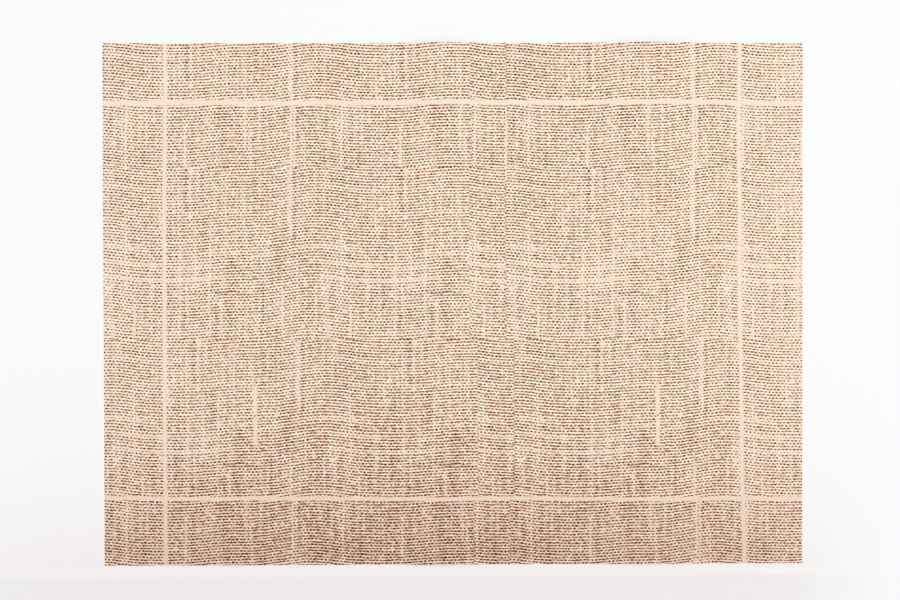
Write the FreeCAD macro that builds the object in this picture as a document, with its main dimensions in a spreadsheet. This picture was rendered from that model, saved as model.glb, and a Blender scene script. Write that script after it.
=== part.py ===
"""A single-use paper placemat: one rectangular sheet of thin paper, as it lies on a table.

The sheet is not pressed dead flat. Two low swells run from its back edge to its front
edge, highest at the back, and between them the paper lies on the table. Paper bends one
way at a time, so every swell is a ruled surface: straight lines join the section at the
back edge to the section at the front edge, and the paper is equally thick everywhere.

Frame: +X along the long side, +Y towards the back edge, +Z up. The origin is on the table,
under the middle of the sheet. All lengths are in millimetres.
"""
import FreeCAD, Part
import math
import os

import Sketcher

PARTS_FOLDER = "parts"

# alias of the cell, its value, and what it sets
SIZES = [
    ("sheet_length", 400.0, "long side of the cut sheet"),
    ("sheet_depth", 298.5, "short side of the cut sheet"),
    ("paper_thickness", 0.12, "one layer of uncoated paper"),
    ("middle_swell_place", -6.0, "crest line, measured from the middle of the sheet"),
    ("middle_swell_reach", 32.0, "from the crest line to where the paper meets the table"),
    ("middle_swell_back", 3.0, "rise of the crest at the back edge"),
    ("middle_swell_front", 1.1, "rise of the crest at the front edge"),
    ("right_swell_place", 112.0, "crest line, measured from the middle of the sheet"),
    ("right_swell_reach", 46.0, "from the crest line to where the paper meets the table"),
    ("right_swell_back", 3.2, "rise of the crest at the back edge"),
    ("right_swell_front", 0.9, "rise of the crest at the front edge"),
]
SWELLS = ("middle_swell", "right_swell")
# a face is a chain: a level stretch and three arcs for every swell, and a last level stretch
PIECES_PER_SWELL = 4

# ends of a sketch's lines and arcs, as the sketcher numbers them
START, END, CENTRE = 1, 2, 3
SKETCH_ROOT = (-1, 1)
SKETCH_X_AXIS = -1


def make_spreadsheet(doc):
    """Put every driving dimension in one sheet, each under an alias of its own."""
    cells = doc.addObject("Spreadsheet::Sheet", "Sizes")
    for row, (alias, value, meaning) in enumerate(SIZES, start=1):
        cells.set(f"A{row}", alias)
        cells.set(f"B{row}", str(value))
        cells.set(f"C{row}", meaning)
        cells.setAlias(f"B{row}", alias)
    doc.recompute()
    return cells


def origin_plane(body, role):
    """The body's own origin plane with this role."""
    return next(plane for plane in body.Origin.OriginFeatures if plane.Role == role)


def swell_arcs(place, reach, rise, lift):
    """The three arcs of one swell, left to right: left foot, crest and right foot.

    The feet curve upwards and the crest curves downwards, all with one radius along the
    underside. lift carries the same arcs from the underside up to the top face.
    """
    turn = 2 * math.atan2(rise, reach)
    radius = reach / (2 * math.sin(turn))
    down, up = -math.pi / 2, math.pi / 2
    places = [
        (place - reach, radius, radius - lift, down, down + turn),
        (place, rise - radius, radius + lift, up - turn, up + turn),
        (place + reach, radius, radius - lift, down - turn, down),
    ]
    normal = FreeCAD.Vector(0, 0, 1)
    return [
        Part.ArcOfCircle(Part.Circle(FreeCAD.Vector(x, z, 0), normal, arc_radius), first, last)
        for x, z, arc_radius, first, last in places
    ]


class Section:
    """A closed section of the sheet in the X-Z plane, tied to the cells of the spreadsheet."""

    def __init__(self, body, cells, edge, side):
        """edge is "back" or "front", and side is the sign of Y at that edge."""
        self.cells, self.edge = cells, edge
        self.sketch = body.newObject("Sketcher::SketchObject", f"Section_{edge}")
        self.sketch.AttachmentSupport = [(origin_plane(body, "XZ_Plane"), "")]
        self.sketch.MapMode = "FlatFace"
        # the plane's own normal points along -Y
        sign = "-" if side > 0 else ""
        self.sketch.setExpression("AttachmentOffset.Base.z", f"{sign}Sizes.sheet_depth / 2")
        lower = self.draw_face(lift=0.0)
        upper = self.draw_face(lift=cells.paper_thickness)
        self.close_ends(lower, upper)
        self.size_lower(lower)
        self.size_upper(lower, upper)

    def tie(self, kind, *where, expression=None, name=None):
        """Add one constraint, and bind its value to the spreadsheet where it has one."""
        index = self.sketch.addConstraint(Sketcher.Constraint(kind, *where))
        if expression:
            self.sketch.renameConstraint(index, name)
            self.sketch.setExpression(f"Constraints.{name}", expression)

    def value(self, swell, what):
        return getattr(self.cells, f"{swell}_{what}")

    def draw_face(self, lift):
        """Draw the underside or the top face from left to right, as a chain of tangent pieces.

        Returns the pieces as (geometry number, left end, right end).
        """
        half_length = self.cells.sheet_length / 2
        chain, left = [], -half_length
        for swell in SWELLS:
            place, reach = self.value(swell, "place"), self.value(swell, "reach")
            chain.append(self.draw_flat(left, place - reach, lift))
            arcs = swell_arcs(place, reach, self.value(swell, self.edge), lift)
            left_foot, crest, right_foot = (self.sketch.addGeometry(arc, False) for arc in arcs)
            # an arc runs anticlockwise, so a crest starts at its right end
            chain.append((left_foot, START, END))
            chain.append((crest, END, START))
            chain.append((right_foot, START, END))
            left = place + reach
        chain.append(self.draw_flat(left, half_length, lift))
        for (one, _, one_right), (two, two_left, _) in zip(chain, chain[1:]):
            self.tie("Tangent", one, one_right, two, two_left)
        return chain

    def draw_flat(self, left, right, height):
        """Draw one level stretch of the sheet."""
        ends = FreeCAD.Vector(left, height, 0), FreeCAD.Vector(right, height, 0)
        flat = self.sketch.addGeometry(Part.LineSegment(*ends), False)
        self.tie("Horizontal", flat)
        return flat, START, END

    def close_ends(self, lower, upper):
        """Join the underside and the top face by the two cut ends of the sheet."""
        half_length, thickness = self.cells.sheet_length / 2, self.cells.paper_thickness
        for x, low, high, end in (
            (-half_length, lower[0][0], upper[0][0], START),
            (half_length, lower[-1][0], upper[-1][0], END),
        ):
            ends = FreeCAD.Vector(x, 0, 0), FreeCAD.Vector(x, thickness, 0)
            cut = self.sketch.addGeometry(Part.LineSegment(*ends), False)
            self.tie("Coincident", cut, START, low, end)
            self.tie("Coincident", cut, END, high, end)
            self.tie("Vertical", cut)

    def size_lower(self, lower):
        """Give the underside its length, and each swell its place, reach and rise."""
        first, last = lower[0][0], lower[-1][0]
        half = "Sizes.sheet_length / 2"
        length = self.cells.sheet_length / 2
        self.tie("DistanceX", first, START, *SKETCH_ROOT, length, expression=half, name="left")
        self.tie("DistanceX", *SKETCH_ROOT, last, END, length, expression=half, name="right")
        for flat, _, _ in lower[::PIECES_PER_SWELL]:
            self.tie("PointOnObject", flat, START, SKETCH_X_AXIS)
        for number, swell in enumerate(SWELLS):
            flat_before = PIECES_PER_SWELL * number
            arcs = lower[flat_before + 1:flat_before + PIECES_PER_SWELL]
            left_foot, crest, right_foot = (arc for arc, _, _ in arcs)
            self.tie("Equal", left_foot, crest)
            self.tie("Equal", crest, right_foot)
            self.size_swell(swell, left_foot, crest)

    def size_swell(self, swell, left_foot, crest):
        """Tie one swell to its cells, the rise by a mark from the crest's centre to its top."""
        place, reach = self.value(swell, "place"), self.value(swell, "reach")
        rise = self.value(swell, self.edge)
        centre = self.sketch.getPoint(crest, CENTRE)
        top = FreeCAD.Vector(place, rise, 0)
        mark = self.sketch.addGeometry(Part.LineSegment(centre, top), True)
        self.tie("Coincident", mark, START, crest, CENTRE)
        self.tie("Vertical", mark)
        self.tie("PointOnObject", mark, END, crest)
        self.tie("DistanceY", *SKETCH_ROOT, mark, END, rise,
                 expression=f"Sizes.{swell}_{self.edge}", name=f"{swell}_rise")
        self.tie("DistanceX", *SKETCH_ROOT, crest, CENTRE, place,
                 expression=f"Sizes.{swell}_place", name=f"{swell}_place")
        self.tie("DistanceX", left_foot, CENTRE, crest, CENTRE, reach,
                 expression=f"Sizes.{swell}_reach", name=f"{swell}_reach")

    def size_upper(self, lower, upper):
        """Keep the top face one paper thickness from the underside."""
        first_low, first_high = lower[0][0], upper[0][0]
        self.tie("DistanceY", first_low, START, first_high, START, self.cells.paper_thickness,
                 expression="Sizes.paper_thickness", name="thickness")
        for (low, _, _), (high, _, _) in zip(lower, upper):
            if isinstance(self.sketch.Geometry[low], Part.ArcOfCircle):
                self.tie("Coincident", low, CENTRE, high, CENTRE)


def make_sheet(doc, cells):
    """The sheet: straight lines carry the section at the front edge to that at the back."""
    body = doc.addObject("PartDesign::Body", "PlacematSheet")
    body.Label = "placemat_sheet"
    front = Section(body, cells, "front", side=-1)
    back = Section(body, cells, "back", side=1)
    loft = body.newObject("PartDesign::AdditiveLoft", "SheetLoft")
    loft.Profile = front.sketch
    loft.Sections = [back.sketch]
    loft.Ruled = True
    body.Tip = loft
    return body


def check(doc, bodies):
    """Stop if anything in the document failed, or a sub-part is not one sound solid."""
    for item in doc.Objects:
        if "Invalid" in item.State or "Error" in item.State:
            raise RuntimeError(f"{item.Name} failed: {item.State}")
    for body in bodies:
        shape = body.Shape
        if shape.isNull() or not shape.isValid() or len(shape.Solids) != 1:
            raise RuntimeError(f"{body.Label} is not one sound solid")


def main():
    doc = FreeCAD.newDocument("PaperPlacemat")
    cells = make_spreadsheet(doc)
    bodies = [make_sheet(doc, cells)]
    doc.recompute()
    check(doc, bodies)
    os.makedirs(PARTS_FOLDER, exist_ok=True)
    for body in bodies:
        body.Shape.exportStep(os.path.join(PARTS_FOLDER, f"{body.Label}.step"))


main()
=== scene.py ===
"""The looks of a single-use paper placemat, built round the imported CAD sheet.

The sheet lies on a pale table and is seen from straight above. Its top face is printed from
edge to edge with an open sackcloth weave, crossed by four narrow unprinted bands. The print
is pieced together from copies of one unit of weave, so everything that belongs to the weave is
worked out from the place within that unit.

Frame: that of the CAD model, in metres. Sizes below are in millimetres unless they say so.
"""
import math

import bpy
from mathutils import Euler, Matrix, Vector, noise


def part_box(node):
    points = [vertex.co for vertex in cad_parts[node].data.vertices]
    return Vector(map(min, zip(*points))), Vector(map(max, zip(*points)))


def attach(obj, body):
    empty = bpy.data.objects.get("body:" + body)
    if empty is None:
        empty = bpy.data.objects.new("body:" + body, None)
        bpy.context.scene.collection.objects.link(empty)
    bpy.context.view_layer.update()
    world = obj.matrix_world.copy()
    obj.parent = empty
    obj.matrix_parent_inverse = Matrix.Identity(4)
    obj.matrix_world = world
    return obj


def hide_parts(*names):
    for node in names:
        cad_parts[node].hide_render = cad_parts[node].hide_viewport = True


MM = 0.001
NODE = "placemat_sheet"

# ---------------------------------------------------------------- the sheet

PAPER_THICKNESS = 0.12
# the CAD model's swells: crest line, reach to each side, rise at the back edge and at the front
SWELLS = (
    (-6.0, 32.0, 3.0, 1.1),
    (112.0, 46.0, 3.2, 0.9),
)
# paper is never quite flat between its swells either
COCKLE_HEIGHT = 0.22
COCKLE_LENGTH = 42.0
GRID_STEP = 2.0

# shares of the square of the map laid out for baking: the top face gets most of it
TOP_STARTS = 0.10
UNDERSIDE_ENDS = 0.085
RIM_STRIP = (0.0875, 0.0975)

# ---------------------------------------------------------------- the print

# The print is pieced together from copies of one unit of weave, so marks, rows and streaks
# are worked out from the place in that unit, across and down it, and come back in every copy.
# Pieces along X: where each begins, and what is added to X to give the place across the unit.
PIECES_ALONG_X = (
    (-210.0, 238.8),
    (-114.8, 115.5),
    (9.2, 39.1),
    (29.7, 8.1),
    (115.6, -115.2),
)
# Pieces from back to front: where each begins on -Y, what is added to -Y to give the place
# down the unit, and how far the unit is moved along +X.
PIECES_TO_FRONT = (
    (-160.0, 152.8, 0.5),
    (-115.2, 215.2, 1.3),
    (-78.3, 78.3, 0.0),
    (20.0, -20.0, 4.7),
    (111.5, -8.2, 2.2),
)
# the print is turned a little on the sheet, and widens a little towards the front
PRINT_SLOPE = 0.0037
PRINT_WIDENING = 0.000035

ROW_PITCH = 1.70
MARK_PITCH = 2.17

# the rows are not straight: place across the unit, and how far a row lies towards the front
ROW_WAVE = (
    (-6.0, -1.4), (1.0, -1.5), (7.0, -1.65), (12.0, -2.25), (19.0, -3.2), (28.0, -4.55),
    (35.0, -5.0), (43.0, -4.6), (54.0, -3.3), (64.0, -2.6), (76.0, -2.4), (88.0, -2.75),
    (102.0, -3.85), (114.0, -4.5), (130.0, -4.7),
)
# the wave's crests move across the unit from its top to its bottom
WAVE_LEAN = 0.05
WAVE_LEANS_FROM = 58.0
# rows crowd and open in turn down the unit, and lie a little closer below this place
CROWDING, CROWDING_LENGTH, CROWDING_STARTS = 0.17, 65.0, 48.0
CLOSE_ROWS_START, CLOSENESS = 100.0, 0.024
# how far a row strays from its course here and there, and how far the rows and the threads drift
ROW_WANDER = 0.18
ROW_SLACK = 0.15
THREAD_DRIFT = 0.20
# neighbouring rows or threads are this far apart in the noise, and a little askew, so that
# each has a run of noise of its own
NOISE_APART, NOISE_ASKEW = 3.7, 0.37

# marks at a fullness of 1: the least half length and half height, and how much more some have
MARK_HALF_LENGTH, MARK_LONGER = 0.49, 0.30
MARK_HALF_HEIGHT, MARK_TALLER = 0.38, 0.25
# the range that marks are scattered over along the row, and marks and links across it, and how
# far the marks of one thread lean to a side together
MARK_SCATTER, ROW_SCATTER, THREAD_LEAN = 0.14, 0.26, 0.26
# how ragged a mark's outline is, and the length and height of that raggedness
EDGE_ROUGHNESS, EDGE_LENGTH, EDGE_HEIGHT = 0.6, 0.40, 0.30
# a mark's ink, how much more some have, and how much whole threads add or take
MARK_INK, MARK_DARKER, THREAD_PULL = 0.80, 0.26, 0.25
# links, the thinner ink between two marks, at a fullness of 1: the least half height and how
# much more some have, the most ink, and what adds to it or takes from it
LINK_HALF_HEIGHT, LINK_TALLER = 0.28, 0.16
LINK_MOST_INK = 0.88
LINK_INK, LINK_HEAVIER, LINK_PULL, LINK_AFTER_LONG = 0.30, 0.7, 0.50, 0.30
# the weave's fullness before patches, the painted shade at the front and streaks, how much
# threads and rows differ from it, how unevenly the single threads below print, and the least that
# is left
BASE_FULLNESS, THREAD_UNEVENNESS, ROW_UNEVENNESS = 0.84, 0.10, 0.08
STREAK_UNEVENNESS = 0.60
LEAST_FULLNESS = 0.03
# ink of the specks between the marks, and the share of the threads' light that doesn't glint
SPECK_INK = 0.12
STEADY_LIGHT = 0.66

# places where the unit is printed fuller (above 0) or thinner (below 0), as soft ovals:
# place across the unit, place down it, half width, half depth, strength
PATCHES = (
    (21.0, 30.0, 4.0, 9.0, -0.14),
    (38.0, 5.0, 5.0, 5.0, -0.13),
    (41.5, 65.0, 4.0, 12.0, -0.17),
    (83.0, 64.0, 5.0, 9.0, -0.17),
    (94.0, 66.0, 6.0, 8.0, -0.12),
    (15.5, 86.0, 4.0, 8.0, -0.17),
    (45.0, 92.0, 5.0, 6.0, -0.12),
    (96.0, 97.0, 6.0, 4.0, -0.12),
    (49.0, 109.0, 6.0, 8.0, -0.13),
    (90.0, 30.0, 4.0, 18.0, -0.09),
    (109.0, 58.0, 5.0, 5.0, 0.13),
    (108.0, 72.0, 6.0, 7.0, 0.08),
    (108.0, 103.0, 6.0, 6.0, 0.17),
    (33.0, 78.0, 4.0, 14.0, 0.11),
    (28.0, 3.0, 3.0, 5.0, 0.13),
    (32.0, 104.0, 8.0, 4.0, 0.10),
    (40.0, 133.0, 4.0, 6.0, 0.16),
    (62.0, 132.0, 7.0, 6.0, 0.16),
    (54.0, 23.0, 12.0, 3.0, 0.09),
)

# the press lays more ink on some parts of the sheet and less on others; the first oval darkens
# the print towards the front and is partly fuller print, partly painted shade: place along X and
# Y, half width, half depth, strength
PRESS_AND_PAINTED_SHADE = (
    (-35.0, -180.0, 220.0, 98.0, 0.46),
    (215.0, 30.0, 62.0, 200.0, -0.20),
    (-215.0, 50.0, 50.0, 160.0, -0.10),
    (-14.0, -79.0, 40.0, 14.0, 0.15),
    (25.0, 120.0, 60.0, 24.0, 0.08),
    (-160.0, -48.0, 50.0, 25.0, -0.10),
    (97.0, 18.0, 24.0, 48.0, -0.11),
    (115.0, -138.0, 60.0, 22.0, -0.12),
    (-170.0, -142.0, 40.0, 18.0, -0.10),
)

# single upright threads that print paler or darker: place across the unit, its two ends down
# it, strength
THREADS = (
    (22.4, -6.0, 40.0, -0.64),
    (21.0, -6.0, 36.0, -0.46),
    (71.0, 10.0, 38.0, -0.47),
    (88.0, -5.0, 18.0, -0.40),
    (108.2, 5.0, 32.0, -0.40),
    (114.3, 12.0, 52.0, -0.40),
    (118.7, 18.0, 46.0, -0.29),
    (51.7, 27.0, 52.0, -0.40),
    (52.0, 52.0, 72.0, -0.36),
    (91.0, 32.0, 66.0, -0.40),
    (65.0, 40.0, 66.0, -0.29),
    (99.3, 34.0, 98.0, -0.50),
    (82.0, 45.0, 96.0, -0.43),
    (17.5, 62.0, 97.0, -0.58),
    (26.3, 58.0, 92.0, -0.32),
    (36.5, 66.0, 92.0, -0.43),
    (43.2, 60.0, 97.0, -0.29),
    (86.5, 72.0, 90.0, -0.36),
    (56.1, 79.0, 98.0, -0.43),
    (72.5, 60.0, 97.0, -0.29),
    (106.0, 79.0, 98.0, -0.50),
    (3.4, 84.0, 98.0, -0.32),
    (20.9, 101.0, 145.0, -0.78),
    (22.9, 101.0, 145.0, -0.66),
    (2.9, 101.0, 129.0, -0.24),
    (7.5, 108.0, 145.0, -0.24),
    (50.3, 100.0, 145.0, -0.50),
    (57.5, 101.0, 122.0, -0.36),
    (61.8, 110.0, 132.0, -0.36),
    (83.7, 116.0, 145.0, -0.65),
    (98.0, 104.0, 119.0, -0.32),
    (118.4, 100.0, 126.0, -0.50),
    (121.6, 116.0, 145.0, -0.43),
    (28.6, 121.0, 145.0, -0.43),
    (7.7, -6.0, 98.0, -0.22),
    (24.8, -6.0, 56.0, 0.27),
    (85.8, -6.0, 26.0, 0.33),
    (56.7, 27.0, 72.0, 0.14),
    (117.4, 34.0, 61.0, 0.27),
    (6.3, 60.0, 86.0, 0.27),
    (75.3, 68.0, 96.0, 0.24),
    (102.8, 70.0, 116.0, 0.24),
    (84.8, 58.0, 98.0, 0.21),
    (24.8, 100.0, 131.0, 0.33),
    (17.6, 100.0, 115.0, 0.27),
)
THREAD_HALF_WIDTH, THREAD_FADE = 0.65, 4.0

# single rows that print paler or darker: place down the straightened unit, its two ends
# across it, strength
ROWS = (
    (15.4, 42.0, 106.0, -0.34),
    (29.4, 88.0, 124.0, -0.30),
    (50.2, 24.0, 62.0, -0.38),
    (52.3, -6.0, 16.0, -0.26),
    (53.4, 98.0, 124.0, -0.34),
    (58.6, 42.0, 74.0, -0.45),
    (60.4, 78.0, 104.0, -0.34),
    (67.3, 44.0, 108.0, -0.49),
    (77.6, 84.0, 112.0, -0.38),
    (98.2, 70.0, 100.0, -0.30),
    (117.2, 50.0, 76.0, -0.26),
    (76.4, 90.0, 112.0, 0.34),
    (18.6, 64.0, 84.0, 0.30),
    (42.4, 66.0, 110.0, 0.26),
)
ROW_HALF_WIDTH, ROW_FADE = 0.80, 8.0

# bare gaps where two pieces of the unit do not quite meet: place along X, the gap's two ends
# on -Y, and half width
WIDE_GAPS = (
    (-113.7, 46.5, 80.5, 1.15),
    (116.8, 46.5, 80.5, 1.15),
)
NARROW_GAP = (30.1, -113.0, -71.0, 0.45)
GAP_FADE = 1.5
# loose fibres beside each wide gap: place from the gap, place on -Y, and fall per millimetre
FIBRES = (
    (-2.1, 55.7, -0.9),
    (-0.1, 63.6, -0.8),
    (3.2, 65.8, 1.1),
    (8.9, 67.4, 1.2),
)
FIBRE_HALF_LENGTH, FIBRE_HALF_WIDTH, FIBRE_INK = 0.75, 0.20, 0.75
# the joins between pieces run ragged by this much
RAGGED = 0.7

# unprinted bands: place, slope and bend of the middle line, and half width
BANDS_ALONG_X = (
    (115.2, -0.0006, 0.0, 1.25),
    (-111.5, -0.0035, 0.0, 1.00),
)
BANDS_ALONG_Y = (
    (-165.0, 0.0030, 0.0, 0.95),
    (164.2, -0.0085, 0.00004, 1.05),
)

# how far a band's sides and its middle line stray, and how far its soft sides reach out and in
BAND_ROUGHNESS, BAND_SWAY = 0.5, 0.7
BAND_OUT, BAND_IN = 0.55, 0.25

# ---------------------------------------------------------------- the paper

ROUGHNESS, ROUGHNESS_VARIES, SPECULAR = 0.80, 0.10, 0.20
GRAIN_DEPTH, GRAIN_STRENGTH = 0.02, 0.6
# shade of the printed face and of bare paper, and what clouds, fibres, flecks and the print
# showing through add to it or take from it
PRINTED_SHADE, PRINTED_CLOUDS = 0.985, 0.03
BARE_SHADE, BARE_CLOUDS, BARE_FLECKS, SHOW_THROUGH = 0.97, 0.05, 0.06, 0.03
SHADE_OF_FIBRES = 0.03

# linear colours
BLACK = (0.0, 0.0, 0.0)
PAPER = (0.935, 0.795, 0.650)
LIGHT_THREAD = (1.0, 0.970, 0.785)
THIN_INK = (0.715, 0.345, 0.218)
FULL_INK = (0.125, 0.018, 0.004)

# ---------------------------------------------------------------- the studio, in metres

# the table top lies a hair below the sheet, so that the two faces are never one
TABLE_SIZE, TABLE_DROP = 30.0, 0.00005
TABLE_WHITE = (0.96, 0.96, 0.965)
# what the camera sees of the table is partly a plain white of this colour and share
TABLE_GLOW, TABLE_GLOW_SHARE = (0.965, 0.970, 0.971), 0.57

SCREEN_LENGTH, SCREEN_HEIGHT, SCREEN_PLACE, SCREEN_GAP = 0.62, 0.080, -0.03, 0.006
SCREEN_BROWN = (0.40, 0.13, 0.08)
# share of the light that the gauze stops at its foot, the shares of its height where it
# becomes solid and where it opens again, and the share of its length that each end opens over
GAUZE_AT_FOOT, GAUZE_CLOSES, GAUZE_OPENS, GAUZE_END = 0.58, 0.35, 0.70, 0.17

# strength of the sky as light, and as the camera sees it
SKY_LEVEL, BACKDROP_LEVEL = 0.900, 0.94
LAMP_POWER, LAMP_SIZE = 3.6, 1.0
LAMP_PLACE, LAMP_TARGET = (0.75, 0.35, 1.25), (0.0, 0.05, 0.0)

# the camera hangs above the sheet and looks down almost squarely; its turn is in degrees
CAMERA_PLACE = (-0.0082, 0.0095, 0.7156)
CAMERA_TURN = (-0.564, -0.487, -0.119)
LENS_MM, SENSOR_MM = 50.0, 36.0


# ---------------------------------------------------------------- shader arithmetic

def feed(tree, slot, value):
    """Give a node's input a constant, or the output of another node."""
    if isinstance(value, Field):
        tree.links.new(value.socket, slot)
    else:
        slot.default_value = value


def calculate(tree, operation, *values):
    """One Math node."""
    node = tree.nodes.new("ShaderNodeMath")
    node.operation = operation
    for slot, value in zip(node.inputs, values):
        feed(tree, slot, value)
    return Field(tree, node.outputs[0])


class Field:
    """A number at every point of a surface: the output of a shader node, with arithmetic."""

    def __init__(self, tree, socket):
        self.tree, self.socket = tree, socket

    def __add__(self, other):
        return calculate(self.tree, "ADD", self, other)

    def __radd__(self, other):
        return calculate(self.tree, "ADD", other, self)

    def __sub__(self, other):
        return calculate(self.tree, "SUBTRACT", self, other)

    def __rsub__(self, other):
        return calculate(self.tree, "SUBTRACT", other, self)

    def __mul__(self, other):
        return calculate(self.tree, "MULTIPLY", self, other)

    def __rmul__(self, other):
        return calculate(self.tree, "MULTIPLY", other, self)

    def __truediv__(self, other):
        return calculate(self.tree, "DIVIDE", self, other)

    def __pow__(self, other):
        return calculate(self.tree, "POWER", self, other)

    def __abs__(self):
        return calculate(self.tree, "ABSOLUTE", self)

    def __mod__(self, other):
        return calculate(self.tree, "FLOORED_MODULO", self, other)

    def __neg__(self):
        return calculate(self.tree, "MULTIPLY", self, -1.0)

    def __gt__(self, other):
        return calculate(self.tree, "GREATER_THAN", self, other)

    def floor(self):
        return calculate(self.tree, "FLOOR", self)

    def sine(self):
        return calculate(self.tree, "SINE", self)

    def most(self, other):
        return calculate(self.tree, "MAXIMUM", self, other)

    def least(self, other):
        return calculate(self.tree, "MINIMUM", self, other)

    def rise(self, low, high):
        """0 at low and 1 at high, with a soft step between them, whichever is the larger."""
        node = self.tree.nodes.new("ShaderNodeMapRange")
        node.interpolation_type = "SMOOTHSTEP"
        feed(self.tree, node.inputs["Value"], self)
        feed(self.tree, node.inputs["From Min"], low)
        feed(self.tree, node.inputs["From Max"], high)
        return Field(self.tree, node.outputs["Result"])


def vector(tree, x, y, z):
    """Three numbers as one vector."""
    node = tree.nodes.new("ShaderNodeCombineXYZ")
    for slot, value in zip(node.inputs, (x, y, z)):
        feed(tree, slot, value)
    return Field(tree, node.outputs[0])


def ripple(x, y, seed, detail=0.0):
    """Smooth noise from about -1 to 1, with roughly one hump for every unit of x and of y."""
    tree = x.tree
    node = tree.nodes.new("ShaderNodeTexNoise")
    node.noise_dimensions = "2D"
    node.inputs["Scale"].default_value = 1.0
    node.inputs["Detail"].default_value = detail
    feed(tree, node.inputs["Vector"], vector(tree, x + 37.7 * seed, y + 11.3 * seed, 0.0))
    return Field(tree, node.outputs["Fac"]) * 2.0 - 1.0


def scatter(x, y, seed):
    """Three numbers from 0 to 1 that have nothing to do with those of the next x or y."""
    tree = x.tree
    node = tree.nodes.new("ShaderNodeTexWhiteNoise")
    node.noise_dimensions = "3D"
    feed(tree, node.inputs["Vector"], vector(tree, x, y, float(seed)))
    split = tree.nodes.new("ShaderNodeSeparateColor")
    tree.links.new(node.outputs["Color"], split.inputs["Color"])
    return [Field(tree, output) for output in split.outputs]


def through_points(position, points):
    """A smooth curve through the points (place, value)."""
    (first, _), (last, _) = points[0], points[-1]
    lowest = min(value for _, value in points)
    tall = max(value for _, value in points) - lowest
    tree = position.tree
    node = tree.nodes.new("ShaderNodeFloatCurve")
    curve = node.mapping.curves[0]
    places = [((x - first) / (last - first), (y - lowest) / tall) for x, y in points]
    curve.points[0].location, curve.points[-1].location = places[0], places[-1]
    for place in places[1:-1]:
        curve.points.new(*place)
    node.mapping.update()
    feed(tree, node.inputs["Value"], (position - first) / (last - first))
    return Field(tree, node.outputs["Value"]) * tall + lowest


def blend_colours(share, one, other):
    """The colour that lies this share of the way from one to the other."""
    tree = share.tree
    node = tree.nodes.new("ShaderNodeMix")
    node.data_type = "RGBA"
    feed(tree, node.inputs["Factor"], share)
    ends = [slot for slot in node.inputs if slot.type == "RGBA"]
    for slot, colour in zip(ends, (one, other)):
        feed(tree, slot, colour if isinstance(colour, Field) else (*colour, 1.0))
    return Field(tree, next(slot for slot in node.outputs if slot.type == "RGBA"))


def sheet_place(tree):
    """Where a point of the sheet is, in millimetres along X and Y from the middle."""
    node = tree.nodes.new("ShaderNodeTexCoord")
    split = tree.nodes.new("ShaderNodeSeparateXYZ")
    tree.links.new(node.outputs["Object"], split.inputs[0])
    return [Field(tree, output) / MM for output in split.outputs[:2]]


# ---------------------------------------------------------------- the printed face

def pieced(position, pieces, item):
    """What the pieces' tables add at a place, where each piece lasts until the next begins."""
    added = pieces[0][item]
    for before, piece in zip(pieces, pieces[1:]):
        added = added + (piece[item] - before[item]) * (position > piece[0])
    return added


def unit_place(across, up, ragged=0.0):
    """Where a point of the sheet lies in the unit of weave: across it and down it."""
    to_front = -(up + PRINT_SLOPE * across)
    down = to_front + pieced(-up, PIECES_TO_FRONT, 1)
    moved = pieced(-up, PIECES_TO_FRONT, 2)
    print_across = across * (1.0 + PRINT_WIDENING * up) - moved
    joins = print_across + ragged
    return print_across + pieced(joins, PIECES_ALONG_X, 1), down


def soft_bar(offset, half_width, run, start, end, fade):
    """1 inside a long bar with soft sides and softer ends, and 0 outside it."""
    inside = abs(offset).rise(1.5 * half_width, 0.5 * half_width)
    return inside * run.rise(start - fade, start + fade) * run.rise(end + fade, end - fade)


def thread_ripple(thread, down, length, seed):
    """Noise along a thread, which has nothing to do with that of the next one."""
    return ripple(thread * NOISE_APART, down / length + thread * NOISE_ASKEW, seed)


def row_ripple(row, along, length, seed):
    """Noise along a row, which has nothing to do with that of the next one."""
    return ripple(along / length + row * NOISE_ASKEW, row * NOISE_APART, seed)


def print_fullness(along, down, straight, thread, row):
    """How full the weave prints here: at 1 its marks have the size stated above."""
    tree = along.tree
    # the ovals read here hold print and painted shade: fuller ink towards the front, where the
    # front lies in shade
    print_and_shade_ovals = tree.nodes.new("ShaderNodeAttribute")
    print_and_shade_ovals.attribute_name = "print_and_shade_ovals"
    full = BASE_FULLNESS + Field(tree, print_and_shade_ovals.outputs["Fac"])
    full = full + THREAD_UNEVENNESS * thread_ripple(thread, down, 30.0, 1)
    full = full + ROW_UNEVENNESS * row_ripple(row, along, 30.0, 2)
    # the single threads bend slowly, and a little more quickly down the unit
    bent = along + 0.5 * ripple(along / 40.0, down / 40.0, 4)
    bent = bent + 0.35 * ripple(along / 20.0, down / 7.0, 11)
    threads = 0.0
    for place, start, end, strength in THREADS:
        bar = soft_bar(bent - place, THREAD_HALF_WIDTH, down, start, end, THREAD_FADE)
        threads = threads + strength * bar
    full = full + threads * (1.0 + STREAK_UNEVENNESS * ripple(along / 1.6, down / 2.6, 3))
    for place, start, end, strength in ROWS:
        bar = soft_bar(straight - place, ROW_HALF_WIDTH, along, start, end, ROW_FADE)
        full = full + strength * bar
    return full.most(LEAST_FULLNESS)


def loose_fibres(across, up):
    """1 on the few fibres that lie across the rows beside the gaps."""
    found = None
    for gap, *_ in WIDE_GAPS:
        for place, height, fall in FIBRES:
            beside, below = across - (gap + place), -up - height
            stroke = abs(below - fall * beside).rise(3.0 * FIBRE_HALF_WIDTH, FIBRE_HALF_WIDTH)
            stroke = stroke * abs(beside).rise(1.2 * FIBRE_HALF_LENGTH, 0.8 * FIBRE_HALF_LENGTH)
            found = stroke if found is None else found.most(stroke)
    return found


def in_gaps(across, up):
    """1 in the gaps between pieces, and 0 elsewhere."""
    inside = None
    for place, start, end, half_width in WIDE_GAPS + (NARROW_GAP,):
        bar = soft_bar(across - place, half_width, -up, start, end, GAP_FADE)
        inside = bar if inside is None else inside.most(bar)
    return inside


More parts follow.
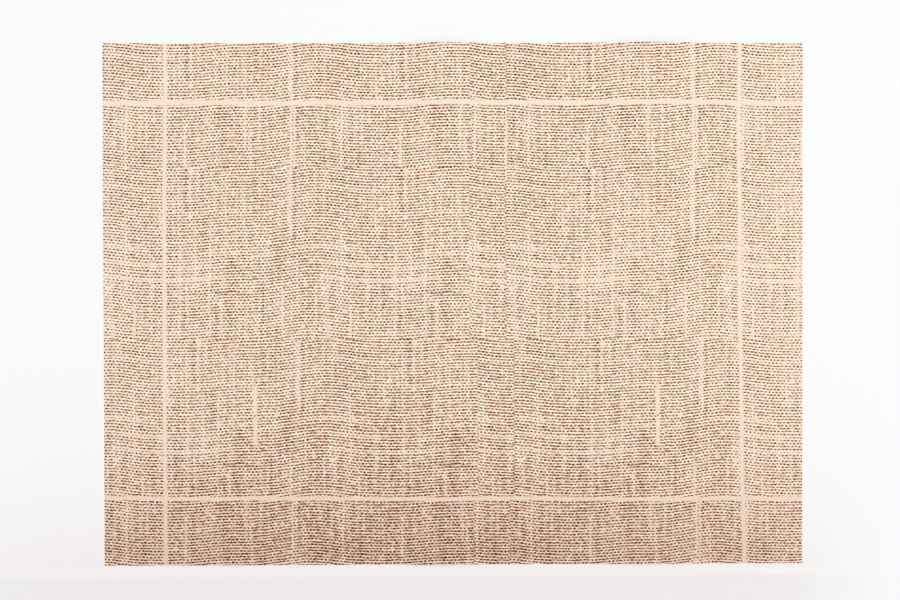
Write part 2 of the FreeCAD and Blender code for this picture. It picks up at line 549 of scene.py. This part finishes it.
def weave_ink(along, down):
    """The printed sackcloth: how much ink lies here, and how light the thread is, from 0 to 1."""
    wave = through_points(along + WAVE_LEAN * (down - WAVE_LEANS_FROM), ROW_WAVE)
    crowding = CROWDING * ((down - CROWDING_STARTS) * (2 * math.pi / CROWDING_LENGTH)).sine()
    closeness = CLOSENESS * (down - CLOSE_ROWS_START).most(0.0)
    slack = ROW_SLACK * ripple(along / 9.0, down / 5.0, 6)
    straight = down - wave - crowding + closeness + slack
    rows = straight / ROW_PITCH
    row = rows.floor()
    wander = row_ripple(row, along, 5.0, 5)
    below = (rows - row - 0.5) * ROW_PITCH + ROW_WANDER * wander

    # a mark shows on every second thread, and the next row has the threads between
    drift = THREAD_DRIFT * ripple(along / 12.0, down / 70.0, 8)
    marks = (along + drift) / MARK_PITCH + 0.5 * (row % 2.0)
    mark = marks.floor()
    beside = (marks - mark - 0.5) * MARK_PITCH
    thread = ((along + drift) * (2 / MARK_PITCH) + 0.5).floor()
    pull = thread_ripple(thread, down, 34.0, 7)
    lean = thread_ripple(thread, down, 70.0, 9)

    full = print_fullness(along, down, straight, thread, row)
    growth = full ** 0.5
    longer, taller, sideways = scatter(mark, row, 1)
    upwards, darker, present = scatter(mark, row, 2)
    half_long = (MARK_HALF_LENGTH + MARK_LONGER * longer) * growth
    half_tall = (MARK_HALF_HEIGHT + MARK_TALLER * taller) * growth
    dx = (beside - MARK_SCATTER * (sideways - 0.5) - THREAD_LEAN * lean) / half_long
    dy = (below - ROW_SCATTER * (upwards - 0.5)) / half_tall
    roughness = EDGE_ROUGHNESS * ripple(along / EDGE_LENGTH, down / EDGE_HEIGHT, 10)
    reach = dx * dx + dy * dy + roughness
    strength = (MARK_INK + MARK_DARKER * darker + THREAD_PULL * pull).least(1.0)
    strength = strength * present.rise(0.01, 0.06)
    dot = reach.rise(1.35, 0.85) * strength

    # between two marks of a row the ink mostly runs on, thinner
    link = (marks + 0.5).floor()
    heavier, taller_link, lower = scatter(link, row, 3)
    half_line = (LINK_HALF_HEIGHT + LINK_TALLER * taller_link) * growth
    line = abs(below - ROW_SCATTER * (lower - 0.5)) / half_line
    heaviness = LINK_INK + LINK_HEAVIER * heavier + LINK_PULL * pull - LINK_AFTER_LONG * longer
    link_ink = LINK_MOST_INK * heaviness.rise(-0.10, 0.92)
    bridge = line.rise(1.5, 0.5) * link_ink * full.least(1.0)
    ink = dot.most(bridge)

    # the threads are light outside the marks, less so on a link and beside a weak mark; they
    # glint here and there, and have specks of thin ink where they don't
    light = reach.rise(1.4, 2.0) * (1.0 - bridge.least(0.4) * 2.5) * (0.4 + 0.6 * strength)
    glint = ripple(along / 1.1, down / 0.9, 19)
    ink = ink.most(SPECK_INK * (-glint).rise(0.0, 0.8))
    glow = STEADY_LIGHT + (1.0 - STEADY_LIGHT) * glint.rise(-0.5, 0.3)
    return ink, light * full.least(1.0) * glow


def unprinted(across, up):
    """1 on the bands that stay bare, and 0 on the print."""
    rough = BAND_ROUGHNESS * ripple(across / 1.4, up / 1.2, 13)
    bare = None
    for bands, place, run in ((BANDS_ALONG_X, up, across), (BANDS_ALONG_Y, across, up)):
        sway = BAND_SWAY * ripple(run / 70.0, place / 70.0, 14)
        for middle, slope, bend, half_width in bands:
            offset = place + sway - (middle + slope * run + bend * (run * run))
            band = (abs(offset) + rough).rise(half_width + BAND_OUT, half_width - BAND_IN)
            bare = band if bare is None else bare.most(band)
    return bare


def paper_surface(tree, across, up, shader):
    """The grain that the bare and the printed paper share: roughness and a fine bump."""
    fibres = ripple(across / 0.9, up / 0.7, 15, detail=3.0)
    shader.inputs["Specular IOR Level"].default_value = SPECULAR
    feed(tree, shader.inputs["Roughness"], ROUGHNESS + ROUGHNESS_VARIES * fibres)
    bump = tree.nodes.new("ShaderNodeBump")
    bump.inputs["Distance"].default_value = GRAIN_DEPTH * MM
    bump.inputs["Strength"].default_value = GRAIN_STRENGTH
    feed(tree, bump.inputs["Height"], fibres)
    tree.links.new(bump.outputs["Normal"], shader.inputs["Normal"])
    return fibres


def new_material(name):
    """A material with its node tree and its shader."""
    material = bpy.data.materials.new(name)
    material.use_nodes = True
    tree = material.node_tree
    return material, tree, tree.nodes["Principled BSDF"]


def printed_material():
    """The top face: paper, lighter threads, and ink from thin to full."""
    material, tree, shader = new_material("printed_face")
    across, up = sheet_place(tree)
    printed = 1.0 - unprinted(across, up)
    ragged = RAGGED * ripple(across / 3.0, up / 1.3, 12)
    ink, light = weave_ink(*unit_place(across, up, ragged))
    printed = printed * (1.0 - in_gaps(across, up))
    ink = (ink * printed).most(FIBRE_INK * loose_fibres(across, up))
    light = light * printed
    fibres = paper_surface(tree, across, up, shader)
    clouds = ripple(across / 3.0, up / 2.4, 16, detail=2.0)
    shade = PRINTED_SHADE + PRINTED_CLOUDS * clouds + SHADE_OF_FIBRES * fibres
    shade = shade.least(1.0)
    thread = blend_colours(light, PAPER, LIGHT_THREAD)
    paper = blend_colours(shade, BLACK, thread)
    thin = blend_colours(ink.least(0.5) * 2.0, paper, THIN_INK)
    colour = blend_colours(ink.most(0.5) * 2.0 - 1.0, thin, FULL_INK)
    feed(tree, shader.inputs["Base Color"], colour)
    return material


def bare_material():
    """The underside and the cut edges, where no ink lies."""
    material, tree, shader = new_material("bare_paper")
    across, up = sheet_place(tree)
    fibres = paper_surface(tree, across, up, shader)
    clouds = ripple(across / 14.0, up / 11.0, 17, detail=3.0)
    flecks = ripple(across / 2.2, up / 1.0, 18, detail=1.0).rise(0.45, 0.75)
    through = 1.0 - unprinted(across, up)
    shade = BARE_SHADE + BARE_CLOUDS * clouds + SHADE_OF_FIBRES * fibres
    shade = shade - BARE_FLECKS * flecks - SHOW_THROUGH * through
    colour = blend_colours(shade.least(1.0), BLACK, PAPER)
    feed(tree, shader.inputs["Base Color"], colour)
    return material


# ---------------------------------------------------------------- the sheet's mesh

def swell_height(x, reach, rise):
    """Three arcs of one radius: a foot that curves up, the crest, and the other foot."""
    if abs(x) >= reach:
        return 0.0
    radius = reach / (2 * math.sin(2 * math.atan2(rise, reach)))
    if abs(x) <= reach / 2:
        return rise - radius + math.sqrt(radius ** 2 - x ** 2)
    return radius - math.sqrt(radius ** 2 - (reach - abs(x)) ** 2)


def underside_height(x, y, half_depth):
    """Height of the underside above the table, with straight lines from front to back."""
    back_share = 0.5 + y / (2 * half_depth)
    height = 0.0
    for place, reach, rise_back, rise_front in SWELLS:
        back = swell_height(x - place, reach, rise_back)
        front = swell_height(x - place, reach, rise_front)
        height += front + (back - front) * back_share
    wrinkle = noise.noise(Vector((x, y, 0.0)) / COCKLE_LENGTH)
    return height + COCKLE_HEIGHT * max(0.0, wrinkle)


def oval_sum(x, y, ovals):
    """What soft ovals add up to at this point: middle, half width, half depth, strength."""
    return sum(
        strength * math.exp(-((x - middle) / half_width) ** 2 - ((y - height) / half_depth) ** 2)
        for middle, height, half_width, half_depth, strength in ovals
    )


def fullness_and_painted_shade(x, y):
    """What the soft ovals add to the ink of the weave at this point: print, and painted shade at
    the front.
    """
    return oval_sum(*unit_place(x, y), PATCHES) + oval_sum(x, y, PRESS_AND_PAINTED_SHADE)


def spread(low, high, steps):
    """Evenly spaced places from low to high, both included."""
    return [low + (high - low) * step / steps for step in range(steps + 1)]


def build_sheet(half_length, half_depth):
    """The sheet as one closed mesh: a fine grid for each face, and a rim between them."""
    columns = round(2 * half_length / GRID_STEP)
    lines = round(2 * half_depth / GRID_STEP)
    places = [
        (x, y)
        for y in spread(-half_depth, half_depth, lines)
        for x in spread(-half_length, half_length, columns)
    ]
    heights = [underside_height(x, y, half_depth) for x, y in places]
    points = [
        (x * MM, y * MM, (z + lift) * MM)
        for lift in (0.0, PAPER_THICKNESS)
        for (x, y), z in zip(places, heights)
    ]

    def point(column, line, top):
        """The number of one grid point, on the underside (0) or the top face (1)."""
        return top * len(places) + line * (columns + 1) + column

    def map_place(share_low, share_high, column, line):
        """The place in the map of one grid point of a face."""
        return column / columns, share_low + (share_high - share_low) * line / lines

    square = ((0, 0), (1, 0), (1, 1), (0, 1))
    faces, map_places, materials = [], [], []
    for top, order, (low, high) in (
        (1, square, (TOP_STARTS, 1.0)),
        (0, square[::-1], (0.0, UNDERSIDE_ENDS)),
    ):
        for line in range(lines):
            for column in range(columns):
                grid = [(column + a, line + b) for a, b in order]
                faces.append([point(*place, top) for place in grid])
                map_places += [map_place(low, high, *place) for place in grid]
                materials.append(0 if top else 1)

    # the cut edge, anticlockwise round the sheet from the front left corner
    ring = [(column, 0) for column in range(columns)]
    ring += [(columns, line) for line in range(lines)]
    ring += [(column, lines) for column in range(columns, 0, -1)]
    ring += [(0, line) for line in range(lines, 0, -1)]
    low, high = RIM_STRIP
    rim = set()
    for number, here in enumerate(ring):
        following = ring[(number + 1) % len(ring)]
        below, above = ([point(*place, top) for place in (here, following)] for top in (0, 1))
        faces.append(below + above[::-1])
        rim |= {frozenset(below), frozenset(above)}
        start, end = number / len(ring), (number + 1) / len(ring)
        map_places += [(start, low), (end, low), (end, high), (start, high)]
        materials.append(1)

    mesh = bpy.data.meshes.new("printed_sheet")
    mesh.from_pydata(points, [], faces)
    bake_map = mesh.uv_layers.new(name="OFBake")
    bake_map.data.foreach_set("uv", [number for place in map_places for number in place])
    mesh.polygons.foreach_set("material_index", materials)
    # the soft ovals, print together with the painted shade towards the front, are kept at every
    # grid point
    print_and_shade_ovals = mesh.attributes.new("print_and_shade_ovals", "FLOAT", "POINT")
    fullness = [fullness_and_painted_shade(x, y) for x, y in places]
    print_and_shade_ovals.data.foreach_set("value", fullness * 2)
    mesh.shade_smooth()
    for edge in mesh.edges:
        edge.use_edge_sharp = frozenset(edge.vertices) in rim
    sheet = bpy.data.objects.new("printed_sheet", mesh)
    bpy.context.scene.collection.objects.link(sheet)
    return sheet


# ---------------------------------------------------------------- table, light and camera

def camera_share(tree):
    """1 where the camera, a reflection or a clear body looks at a surface, and 0 for light."""
    node = tree.nodes.new("ShaderNodeLightPath")
    rays = ("Is Camera Ray", "Is Glossy Ray", "Is Transmission Ray")
    one, two, three = (Field(tree, node.outputs[name]) for name in rays)
    return one.most(two).most(three)


def make_table():
    """A pale table top, which glows a little to the camera so that the backdrop stays white."""
    bpy.ops.mesh.primitive_plane_add(size=TABLE_SIZE, location=(0.0, 0.0, -TABLE_DROP))
    table = bpy.context.object
    table.name = "table"
    material, tree, shader = new_material("table_white")
    shader.inputs["Base Color"].default_value = (*TABLE_WHITE, 1.0)
    shader.inputs["Roughness"].default_value = 0.9
    shader.inputs["Specular IOR Level"].default_value = 0.0
    glow = tree.nodes.new("ShaderNodeEmission")
    glow.inputs["Color"].default_value = (*TABLE_GLOW, 1.0)
    both = tree.nodes.new("ShaderNodeMixShader")
    feed(tree, both.inputs[0], camera_share(tree) * TABLE_GLOW_SHARE)
    tree.links.new(shader.outputs[0], both.inputs[1])
    tree.links.new(glow.outputs[0], both.inputs[2])
    tree.links.new(both.outputs[0], tree.nodes["Material Output"].inputs["Surface"])
    table.data.materials.append(material)
    return table


def make_screen(half_depth):
    """A low brown gauze that stands in front of the sheet and shades its front.

    It lets light through at its foot, along its upper edge and towards its ends, so that its
    shade has no sharp end on the table.
    """
    bpy.ops.mesh.primitive_plane_add(size=1.0)
    screen = bpy.context.object
    screen.name = "screen"
    screen.scale = (SCREEN_LENGTH, SCREEN_HEIGHT, 1.0)
    screen.rotation_euler = (math.pi / 2, 0.0, 0.0)
    screen.location = (SCREEN_PLACE, -half_depth * MM - SCREEN_GAP, SCREEN_HEIGHT / 2)
    screen.visible_camera = False
    screen.visible_glossy = False

    material, tree, shader = new_material("brown_gauze")
    node = tree.nodes.new("ShaderNodeTexCoord")
    split = tree.nodes.new("ShaderNodeSeparateXYZ")
    tree.links.new(node.outputs["Object"], split.inputs[0])
    along, up = (Field(tree, output) + 0.5 for output in split.outputs[:2])
    thickening = (up / GAUZE_CLOSES).least(1.0)
    closed = GAUZE_AT_FOOT + (1.0 - GAUZE_AT_FOOT) * thickening
    closed = closed * (1.0 - up.rise(GAUZE_OPENS, 1.0))
    closed = closed * along.rise(0.0, GAUZE_END) * (1.0 - along.rise(1.0 - GAUZE_END, 1.0))
    shader.inputs["Base Color"].default_value = (*SCREEN_BROWN, 1.0)
    clear = tree.nodes.new("ShaderNodeBsdfTransparent")
    both = tree.nodes.new("ShaderNodeMixShader")
    feed(tree, both.inputs[0], closed)
    tree.links.new(clear.outputs[0], both.inputs[1])
    tree.links.new(shader.outputs[0], both.inputs[2])
    tree.links.new(both.outputs[0], tree.nodes["Material Output"].inputs["Surface"])
    screen.data.materials.append(material)
    return screen


def make_light():
    """An even white sky, and a broad lamp above the right, which is a little lighter for it."""
    world = bpy.data.worlds.new("studio")
    world.use_nodes = True
    tree = world.node_tree
    sky = tree.nodes["Background"]
    sky.inputs["Color"].default_value = (1.0, 1.0, 1.0, 1.0)
    share = camera_share(tree)
    feed(tree, sky.inputs["Strength"], SKY_LEVEL + (BACKDROP_LEVEL - SKY_LEVEL) * share)
    bpy.context.scene.world = world

    lamp = bpy.data.lights.new("soft_lamp", "AREA")
    lamp.shape = "DISK"
    lamp.size = LAMP_SIZE
    lamp.energy = LAMP_POWER
    holder = bpy.data.objects.new("soft_lamp", lamp)
    holder.location = LAMP_PLACE
    aim = Vector(LAMP_TARGET) - holder.location
    holder.rotation_euler = aim.to_track_quat("-Z", "Y").to_euler()
    bpy.context.scene.collection.objects.link(holder)


def make_camera():
    """The camera above the sheet, which the scene looks through."""
    data = bpy.data.cameras.new("camera")
    data.lens = LENS_MM
    data.sensor_width = SENSOR_MM
    camera = bpy.data.objects.new("camera", data)
    camera.location = CAMERA_PLACE
    camera.rotation_euler = Euler([math.radians(turn) for turn in CAMERA_TURN])
    bpy.context.scene.collection.objects.link(camera)
    bpy.context.scene.camera = camera


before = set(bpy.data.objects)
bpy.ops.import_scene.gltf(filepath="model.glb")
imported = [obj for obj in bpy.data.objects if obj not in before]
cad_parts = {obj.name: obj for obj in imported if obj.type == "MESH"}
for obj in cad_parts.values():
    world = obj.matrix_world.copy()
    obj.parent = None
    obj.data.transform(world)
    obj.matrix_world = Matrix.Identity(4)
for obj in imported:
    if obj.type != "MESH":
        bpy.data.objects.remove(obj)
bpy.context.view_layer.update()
_, sheet_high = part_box(NODE)
half_length, half_depth = sheet_high.x / MM, sheet_high.y / MM

sheet = build_sheet(half_length, half_depth)
sheet.data.materials.append(printed_material())
sheet.data.materials.append(bare_material())
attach(sheet, "root")
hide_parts(NODE)

make_table()
make_screen(half_depth)
make_light()
make_camera()
bpy.context.scene.view_settings.view_transform = "Standard"
